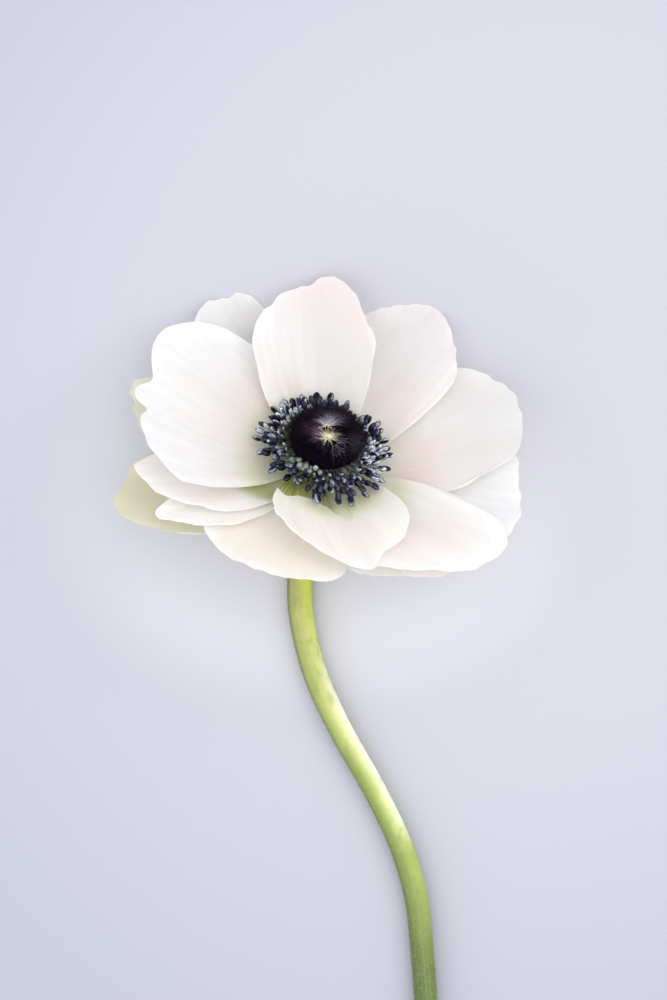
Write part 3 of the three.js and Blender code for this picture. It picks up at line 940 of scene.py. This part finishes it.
def makeDown(rings):
    # short hairs on the stalk, none past its cut end or through the table
    hairs = Bunch()
    first, last = len(stem["receptacle"]) - 2, len(rings) - 1
    spread = stem["hairSpread"]
    endSpare, floorSpare = stem["hairSpare"]
    cutEnd = cadBox[0][1] / millimetre + endSpare
    for _ in range(stem["hairs"]):
        turn = chance.uniform(-math.pi, math.pi)
        place = chance.uniform(first, last)
        root, out = stemPoint(rings, turn, place)
        way = rings[int(place)]["way"]
        length = chance.uniform(*stem["hairLength"])
        lean = way * chance.uniform(*stem["hairSway"]) + out.cross(way) * chance.uniform(-spread, spread)
        tip = root + (out + lean) * length
        if min(root.z, tip.z) < floorSpare or min(root.y, tip.y) < cutEnd:
            continue
        start = root - out * stem["hairSeat"]
        tint = mixed(stemPaint["fleece"], stemPaint["down"], chance.random())
        hairs.add(hairPattern, laidAlong(lambda t: start.lerp(tip, t), lambda t: stem["hairRadius"]),
                  lambda x, y, z: tint)
    finish = tintFinish("stalkDown", roughness=0.6, sheen=0.3, shine=0.3, grain=2000.0)
    settled(hairs.made("stalkDown", finish), "stem")


hairPattern = strandPattern(3, 1, True)
stalkRings = stemRings()
makeStalk(stalkRings)
makeDown(stalkRings)
print("stem made")


# The pistil: a dome of packed carpels, each ending in a dark hairy style, with pale tufts.
# Profile is (radius, height) up the bloom's axis, and a patch is (x, y, breadth, depth).

pistil = {
    "profile": ((3, 0.1), (3, 1.7), (6.1, 2), (6.95, 2.6), (7.2, 3.4), (6.95, 4.4), (6.3, 5.4), (5.2, 6.15),
                (4.0, 6.7), (2.7, 7.05), (1.4, 7.25), (0.02, 7.3)),
    "sides": 64,
    "styles": 1500,
    "styleLength": 0.5,
    "styleRadius": 0.11,
    "styleJitter": 0.05,
    "styleSway": 0.25,
    "seat": 0.15,
    "hairs": 9000,
    "hairLength": (0.5, 1.3),
    "hairRadius": 0.03,
    "lilacPatch": (0.4, 2.2, 2.0, 1.3),
    "rosePatch": (-2.4, -0.9, 1.7, 1.3),
    "rightPatch": (5.0, -2.2, 1.2, 2.2),
    "tufts": (
        {"at": (0.2, -2.9), "strands": 104, "start": 0.15, "length": (1.2, 3.9), "sector": (-180, 180),
         "front": 0.55, "tint": "cream", "tip": "cream", "radius": 0.072},
        {"at": (-0.3, 0.0), "strands": 34, "start": 0.2, "length": (0.7, 2.4), "sector": (-60, 230),
         "tint": "cream", "tip": "lilac", "radius": 0.065},
        {"at": (-0.1, 0.2), "strands": 96, "start": 0.9, "length": (1.0, 3.2), "sector": (15, 165),
         "tint": "lilac", "tip": "lilac", "radius": 0.05},
        {"at": (0.2, -2.6), "strands": 130, "start": 1.6, "length": (0.8, 3.0), "sector": (135, 205),
         "tint": "rose", "tip": "purple", "radius": 0.045},
        {"at": (0.2, -2.6), "strands": 60, "start": 2.8, "length": (0.5, 2.2), "sector": (-65, 10),
         "tint": "lilac", "tip": "purple", "radius": 0.036},
        {"at": (0.2, -2.6), "strands": 90, "start": 2.2, "length": (0.4, 1.4), "sector": (205, 285),
         "tint": "dim", "tip": "purple", "radius": 0.03}),
}

pistilPaint = {
    "dark": (0.0022, 0.0012, 0.0034),
    "purple": (0.013, 0.004, 0.017),
    "lilac": (0.62, 0.56, 0.70),
    "rose": (0.40, 0.20, 0.35),
    "dim": (0.09, 0.06, 0.12),
    "cream": (0.95, 0.89, 0.62),
}

# the dome's widest ring
domeReach = pistil["profile"][4][0]


def domePoint(share):
    # radius and height of the dome at a share of the way up its profile
    rows = pistil["profile"]
    return through([row[0] for row in rows], share), through([row[1] for row in rows], share)


def domeSurface(x, y):
    # height of the dome's top over a point inside its widest ring
    reach = math.hypot(x, y)
    rows = pistil["profile"][4:]
    for (r1, z1), (r2, z2) in zip(rows, rows[1:]):
        if r2 <= reach <= r1:
            return z2 + (z1 - z2) * (reach - r2) / (r1 - r2)
    return rows[0][1] if reach > rows[0][0] else rows[-1][1]


def domeNormal(x, y):
    step = 0.15
    return Vector((
        domeSurface(x - step, y) - domeSurface(x + step, y),
        domeSurface(x, y - step) - domeSurface(x, y + step),
        2 * step)).normalized()


def onDome(x, y, lift):
    # a point over the dome, lifted along the surface's normal
    return Vector((x, y, domeSurface(x, y))) + domeNormal(x, y) * lift


def patchNear(x, y, patch):
    cx, cy, breadth, depth = patch
    return math.exp(-((x - cx) / breadth) ** 2 - ((y - cy) / depth) ** 2)


def styleTint(x, y, bright):
    # near-black purple, with lilac at the back, rose to the left and light hairs at the right
    lilac = 0.7 * patchNear(x, y, pistil["lilacPatch"]) + 0.3 * patchNear(x, y, pistil["rightPatch"])
    colour = mixed(pistilPaint["dark"], pistilPaint["purple"], 0.25 + 0.6 * bright)
    colour = mixed(colour, pistilPaint["lilac"], min(1, lilac * bright))
    return mixed(colour, pistilPaint["rose"], min(1, patchNear(x, y, pistil["rosePatch"]) * bright))


def awayFromTufts(x, y):
    # the way hairs are combed: straight away from the nearest tuft
    ways = [Vector((x - tuft["at"][0], y - tuft["at"][1], 0)) for tuft in pistil["tufts"]]
    return min(ways, key=lambda way: way.length).normalized()


def pistilFinish():
    paint = Surface("pistil")
    grain = paint.noise(paint.place(), 1500.0, 4.0, 0.7)
    lumps = paint.node("TexVoronoi", None, {"Vector": paint.place(), "Scale": 2200.0})
    colour = paint.mix(grain, pistilPaint["dark"], pistilPaint["purple"])
    return paint.finish(paint.skin(colour, 0.75 + 0.1 * grain, paint.bump(lumps, 0.6, 0.0002), shine=0.04))


def sunflower(count, reach):
    # evenly spread points in a disc
    for i in range(count):
        radius = reach * math.sqrt((i + 0.5) / count)
        turn = i * math.pi * (3 - math.sqrt(5))
        yield radius * math.cos(turn), radius * math.sin(turn)


def makeCore():
    rows = len(pistil["profile"]) - 1

    def place(across, along):
        radius, height = domePoint(along)
        turn = math.pi * across
        return bloomFrame @ Vector((radius * math.cos(turn), radius * math.sin(turn), height))

    core = gridPiece("pistilCore", pistil["sides"], rows * 3, place)
    closeTube(core)
    core.data.materials.append(pistilFinish())
    smooth(core)
    settled(core, "pistil")


def makeStyles():
    styles = Bunch()
    jitter, sway = pistil["styleJitter"], pistil["styleSway"]
    for x, y in sunflower(pistil["styles"], domeReach * 1.02):
        x += chance.uniform(-jitter, jitter)
        y += chance.uniform(-jitter, jitter)
        out = domeNormal(x, y)
        root = onDome(x, y, -pistil["seat"])
        tint = styleTint(x, y, chance.random() ** 2.2)
        length = pistil["styleLength"] * chance.uniform(0.7, 1.2)
        drift = Vector((chance.uniform(-sway, sway), chance.uniform(-sway, sway), 0))

        def path(t):
            return bloomFrame @ (root + (out + drift * t) * length * t)

        styles.add(stylePattern, laidAlong(path, lambda t: pistil["styleRadius"] * (1 - 0.6 * t)),
                   lambda x, y, z: mixed(pistilPaint["dark"], tint, z))
    settled(styles.made("pistilStyles", tintFinish("pistilStyles", roughness=0.6, shine=0.06)), "pistil")


def makeHairs():
    hairs = Bunch()
    for _ in range(pistil["hairs"]):
        radius = domeReach * 1.01 * math.sqrt(chance.random())
        turn = chance.uniform(0, 2 * math.pi)
        x, y = radius * math.cos(turn), radius * math.sin(turn)
        out = domeNormal(x, y)
        root = onDome(x, y, pistil["seat"])
        length = chance.uniform(*pistil["hairLength"])
        drift = awayFromTufts(x, y) * chance.uniform(0.5, 1.3) + scattered(0.3, -0.2, 0.1)

        def path(t):
            return bloomFrame @ (root + (out * 0.7 + drift * t) * length * t)

        tint = styleTint(x, y, 0.1 + 0.9 * chance.random() ** 2)
        hairs.add(hairPattern, laidAlong(path, lambda t: pistil["hairRadius"]), lambda x, y, z: tint)
    settled(hairs.made("pistilHairs", tintFinish("pistilHairs")), "pistil")


def makeTufts():
    tufts = Bunch()
    for tuft in pistil["tufts"]:
        cx, cy = tuft["at"]
        tip = pistilPaint[tuft["tip"]]
        for _ in range(tuft["strands"]):
            turn = math.radians(chance.uniform(*tuft["sector"]))
            length = chance.uniform(*tuft["length"])
            start = tuft["start"] * chance.uniform(0.7, 1.3)
            lift = chance.uniform(0.4, 0.75)
            bow = chance.uniform(-0.25, 0.25)
            length *= tuft.get("front", 1) if math.sin(turn) < -0.3 else 1

            def path(t):
                x = cx + math.cos(turn + bow * t) * (start + length * t)
                y = cy + math.sin(turn + bow * t) * (start + length * t)
                rise = lift * (0.5 + 0.5 * math.sin(math.pi * t * 0.8))
                return bloomFrame @ Vector((x, y, domeSurface(x, y) + rise))

            root = mixed(pistilPaint[tuft["tint"]], pistilPaint["purple"], chance.uniform(0, 0.6) ** 2)
            tufts.add(tuftPattern, laidAlong(path, lambda t: tuft["radius"] * (1 - 0.5 * t)),
                      lambda x, y, z: mixed(root, tip, 0.8 * z ** 2))
    settled(tufts.made("pistilTufts", tintFinish("pistilTufts", shine=0.3)), "pistil")


stylePattern = strandPattern(5, 2, True)
tuftPattern = strandPattern(4, 5, True)
makeCore()
makeStyles()
makeHairs()
makeTufts()
print("pistil made")


# Stamens: filaments out of a collar, each with a two-lobed anther. A collar is (radius,
# thickness), a path (reach, height) in steps, a gap (azimuth, breadth, rows it thins) and a
# coloured stretch (azimuth, breadth); the dark stretch is painted shade on the filaments, and at
# the brightest stretches the anthers' painted highlights are strongest. Azimuths are degrees round the bloom.

stamens = {
    "collar": (5.35, 0.5),
    "filamentRadius": 0.2,
    "rows": (
        {"count": 30, "size": 1.0, "path": ((5.3, 0.3), (9.1, 0.6), (11.9, 0.8), (13.8, 1.1))},
        {"count": 42, "size": 1.0, "path": ((5.3, 0.3), (8.8, 0.7), (10.9, 0.9), (12.5, 1.7))},
        {"count": 42, "size": 1.0, "path": ((5.3, 0.3), (8.3, 0.8), (10.2, 1.2), (11.6, 2.3))},
        {"count": 40, "size": 0.97, "path": ((5.3, 0.3), (7.8, 0.8), (9.4, 1.5), (10.6, 2.7))},
        {"count": 36, "size": 0.93, "path": ((5.3, 0.3), (7.3, 0.8), (8.6, 1.5), (9.6, 2.9))}),
    "gaps": ((64, 7, 3), (-152, 6, 1)),
    "gapEdge": 0.37,
    "jitter": 1.1,
    "reachVariation": (-0.9, 0.4),
    "antherLength": 2.15,
    "antherWidth": 1.4,
    "antherVariation": (0.88, 1.1),
    "violetShare": 0.12,
    "laidOut": (0.2, 0.75),
    "laidOutAt": (90, 60),
    "backLift": 0.5,
    "backAzimuth": 104,
    "stretch": 0.05,
    "stretchAzimuth": -62,
    "shift": (-0.4, -0.5),
    "dip": (-122, 24, 0.22),
    "lime": ((176, 34), (-125, 22)),
    "cream": (-44, 10),
    # painted shade on the filaments at the front of the ring
    "dark": (-80, 50),
    # painted highlights on the anthers: how many get a strong one, and more at the brightest azimuths
    "brightest": ((140, 30), (0, 35)),
    "highlight": {"share": 0.4, "brightestShare": 0.5, "strong": (0.5, 0.95), "brightestBoost": 0.9, "weak": (0.03, 0.2)},
}

innerStamens = {
    "collar": (3.85, 0.45),
    "rows": (
        {"count": 22, "size": 0.66, "path": ((3.85, 0.8), (5, 1.25), (6.8, 1.35), (8.6, 1.9), (9.2, 3.2))},
        {"count": 28, "size": 0.6, "path": ((3.85, 0.8), (5, 1.25), (6.8, 1.35), (8.2, 2.1), (8.5, 3.7))}),
    "jitter": 0.4,
    "pale": ((148, 8.9, 3.4), (156, 8.6, 3.3), (139, 9.2, 3.2), (-133, 8.7, 4.0), (-125, 7.9, 4.5),
             (-119, 8.6, 4.1), (-111, 8.0, 4.2), (-104, 8.5, 3.9), (-97, 7.8, 4.6), (-90, 8.3, 4.1)),
    "paleKnee": 2.2,
    "paleSize": (0.9, 1.05),
}

stamenPaint = {
    "navy": (0.0012, 0.0018, 0.006),
    "slate": (0.011, 0.018, 0.062),
    # the pale painted highlight on the anthers' upper faces
    "bloom": (0.86, 0.89, 0.98),
    "violet": (0.034, 0.016, 0.066),
    "grey": (0.26, 0.29, 0.20),
    "moss": (0.10, 0.12, 0.06),
    "lilac": (0.88, 0.89, 0.97),
    "lime": (0.50, 0.55, 0.16),
    "cream": (0.80, 0.76, 0.52),
}


def antherPattern():
    # an upright ovoid pinched along two opposite seams
    deselectAll()
    bpy.ops.mesh.primitive_uv_sphere_add(segments=16, ring_count=10, radius=0.5, location=(0, 0, 0))
    anther = named("anther")
    for vertex in anther.data.vertices:
        around = math.atan2(vertex.co.y, vertex.co.x)
        pinch = 1 - 0.26 * math.exp(-(math.sin(around) / 0.35) ** 2) * (1 - (2 * vertex.co.z) ** 2)
        fuller = 1 - 0.12 * vertex.co.z
        vertex.co = Vector((vertex.co.x * pinch * fuller, vertex.co.y * 0.82 * fuller, vertex.co.z))
    return patternOf(anther)


def stamenPath(points, azimuth, reach, ring):
    # the filament's curve at an azimuth round the bloom, in the bloom's own frame
    stretch = ring["stretch"] * math.cos(2 * math.radians(azimuth - ring["stretchAzimuth"]))
    dipAzimuth, breadth, depth = ring["dip"]
    growth = stretch - depth * azimuthNear(azimuth, dipAzimuth, breadth)
    overBack = max(0, math.cos(math.radians(azimuth - ring["backAzimuth"]))) ** 2
    distances = [distance for distance, _ in points]
    heights = [height for _, height in points]
    turn = math.radians(azimuth)

    def at(t):
        out = through(distances, t) * (1 + growth * t) + reach * t
        height = through(heights, t) + ring["backLift"] * overBack * t * t
        return Vector((
            out * math.cos(turn) + ring["shift"][0] * t,
            out * math.sin(turn) + ring["shift"][1] * t,
            height))

    return at


def nearest(azimuth, stretches):
    return max(azimuthNear(azimuth, *stretch) for stretch in stretches)


def filamentTint(azimuth):
    # lilac with lime and cream stretches, and painted shade at the front of the ring
    colour = mixed(stamenPaint["lilac"], stamenPaint["lime"], nearest(azimuth, stamens["lime"]))
    colour = mixed(colour, stamenPaint["slate"], 0.9 * azimuthNear(azimuth, *stamens["dark"]))
    return mixed(colour, stamenPaint["cream"], azimuthNear(azimuth, *stamens["cream"]))


def addFilament(filaments, at, azimuth):
    # the filament's curve seated in its anther, with painted shade darkening it towards its foot
    stalk = filamentTint(azimuth)
    tone = chance.uniform(0.85, 1.02)
    path = laidAlong(lambda t: bloomFrame @ at(t * 0.95),
                     lambda t: stamens["filamentRadius"] * (1.25 - 0.45 * t))
    filaments.add(filamentPattern, path, lambda x, y, z: mixed((0, 0, 0), stalk, tone * (0.35 + 0.65 * z)))


def antherTurn(at, azimuth):
    # along the filament's end, laid outward least at the back, and turned at random
    way = (at(0.98) - at(0.84)).normalized()
    sway = scattered(0.3, -0.15, 0.3)
    turn = math.radians(azimuth)
    outward = bloomFrame.to_3x3().inverted() @ Vector((math.cos(turn), math.sin(turn), 0))
    low, high = stamens["laidOut"]
    laid = high + (low - high) * azimuthNear(azimuth, *stamens["laidOutAt"])
    way = (way + sway + outward * laid).normalized()
    return way.to_track_quat("Z", "Y").to_matrix() @ Matrix.Rotation(chance.uniform(0, math.pi), 3, "Z")


def highlightOn(azimuth):
    # how strong the pale painted highlight on one anther is
    highlight = stamens["highlight"]
    brightest = nearest(azimuth, stamens["brightest"])
    if chance.random() < highlight["share"] + highlight["brightestShare"] * brightest:
        return chance.uniform(*highlight["strong"]) + highlight["brightestBoost"] * brightest
    return chance.uniform(*highlight["weak"])


def addStamen(filaments, anthers, at, azimuth, size, tint, highlightTint, roundness=1):
    addFilament(filaments, at, azimuth)
    tip = at(0.93)
    turned = antherTurn(at, azimuth)
    length = stamens["antherLength"] * size * chance.uniform(*stamens["antherVariation"]) / roundness
    width = stamens["antherWidth"] * size * chance.uniform(*stamens["antherVariation"]) * roundness
    highlight = highlightOn(azimuth)
    stripe = chance.uniform(-0.12, 0.12)
    facing = bloomFrame.to_3x3() @ turned

    def place(x, y, z):
        return bloomFrame @ (tip + turned @ Vector((x * width, y * width, z * length)))

    def highlighted(x, y, z):
        # a pale painted highlight on the upper face of each lobe, with dark seams and sides
        up = (facing @ Vector((x / width, y / width, z / length))).normalized().z
        crest = math.exp(-((abs(y - stripe) - 0.14) / 0.09) ** 2)
        return mixed(tint, highlightTint, min(1, ease(up, 0.25, 0.8) * crest * highlight * chance.uniform(0.5, 1)))

    anthers.add(oneAnther, place, highlighted)


def antherTint():
    if chance.random() < stamens["violetShare"]:
        return mixed(stamenPaint["violet"], stamenPaint["navy"], chance.random() * 0.5)
    return mixed(stamenPaint["navy"], stamenPaint["slate"], chance.random() ** 1.6)


def inGap(azimuth, index):
    return any(index < rows and azimuthNear(azimuth, centre, breadth) > stamens["gapEdge"]
               for centre, breadth, rows in stamens["gaps"])


def makeOuterStamens():
    filaments, anthers = Bunch(), Bunch()
    for index, row in enumerate(stamens["rows"]):
        for i in range(row["count"]):
            shift = 0.5 * (index % 2) + stamens["jitter"] * (chance.random() - 0.5)
            azimuth = 360 * (i + shift) / row["count"]
            if inGap(azimuth, index):
                continue
            at = stamenPath(row["path"], azimuth, chance.uniform(*stamens["reachVariation"]), stamens)
            addStamen(filaments, anthers, at, azimuth, row["size"], antherTint(), stamenPaint["bloom"])
    settled(filaments.made("outerFilaments", filamentFinish), "outer_stamens")
    settled(anthers.made("outerAnthers", antherFinish), "outer_stamens")


def makeInnerStamens():
    filaments, anthers = Bunch(), Bunch()
    for row in innerStamens["rows"]:
        for i in range(row["count"]):
            azimuth = 360 * (i + innerStamens["jitter"] * (chance.random() - 0.5)) / row["count"]
            at = stamenPath(row["path"], azimuth, 0, stamens)
            tint = mixed(stamenPaint["grey"], stamenPaint["slate"], chance.uniform(0.3, 1.0))
            addStamen(filaments, anthers, at, azimuth, row["size"], tint, stamenPaint["bloom"])
    size, roundness = innerStamens["paleSize"]
    foot = innerStamens["rows"][0]["path"][:3]
    for azimuth, reach, height in innerStamens["pale"]:
        points = (*foot, (reach, innerStamens["paleKnee"]), (reach, height))
        at = stamenPath(points, azimuth, 0, dict(stamens, dip=(0, 1, 0)))
        highlightTint = mixed(stamenPaint["grey"], stamenPaint["lilac"], 0.4 + 0.6 * chance.random())
        tint = mixed(stamenPaint["moss"], highlightTint, chance.uniform(0.12, 0.4))
        addStamen(filaments, anthers, at, azimuth, size, tint, highlightTint, roundness)
    settled(filaments.made("innerFilaments", filamentFinish), "inner_stamens")
    settled(anthers.made("innerAnthers", antherFinish), "inner_stamens")


def collarFinish():
    paint = Surface("collar")
    grain = paint.noise(paint.place(), 900.0, 3.0)
    colour = paint.mix(grain, stamenPaint["lime"], mixed(stamenPaint["lime"], (0, 0, 0), 0.5))
    return paint.finish(paint.skin(colour, 0.6, paint.bump(grain, 0.4, 0.0001)))


def makeCollar(name, ring, material, node):
    radius, thickness = ring
    deselectAll()
    bpy.ops.mesh.primitive_torus_add(
        major_radius=radius, minor_radius=thickness, major_segments=64, minor_segments=12)
    collar = named(name)
    for vertex in collar.data.vertices:
        lumps = noise.noise(vertex.co * 2.2) * 0.12
        point = Vector((vertex.co.x, vertex.co.y, 0.35 + vertex.co.z * 0.5 + lumps * 0.3))
        vertex.co = (bloomFrame @ point) * millimetre
    collar.data.update()
    collar.data.materials.append(material)
    smooth(collar)
    settled(collar, node)


filamentPattern = strandPattern(6, 7, False)
oneAnther = antherPattern()
filamentFinish = tintFinish("filaments", sheen=0.2, shine=0.4, grain=1800.0)
antherFinish = tintFinish("anthers", roughness=0.22, shine=0.09, grain=1500.0, depth=0.0003)
makeOuterStamens()
makeInnerStamens()
collarSkin = collarFinish()
makeCollar("outerCollar", stamens["collar"], collarSkin, "outer_stamens")
makeCollar("innerCollar", innerStamens["collar"], collarSkin, "inner_stamens")
print("stamens made")
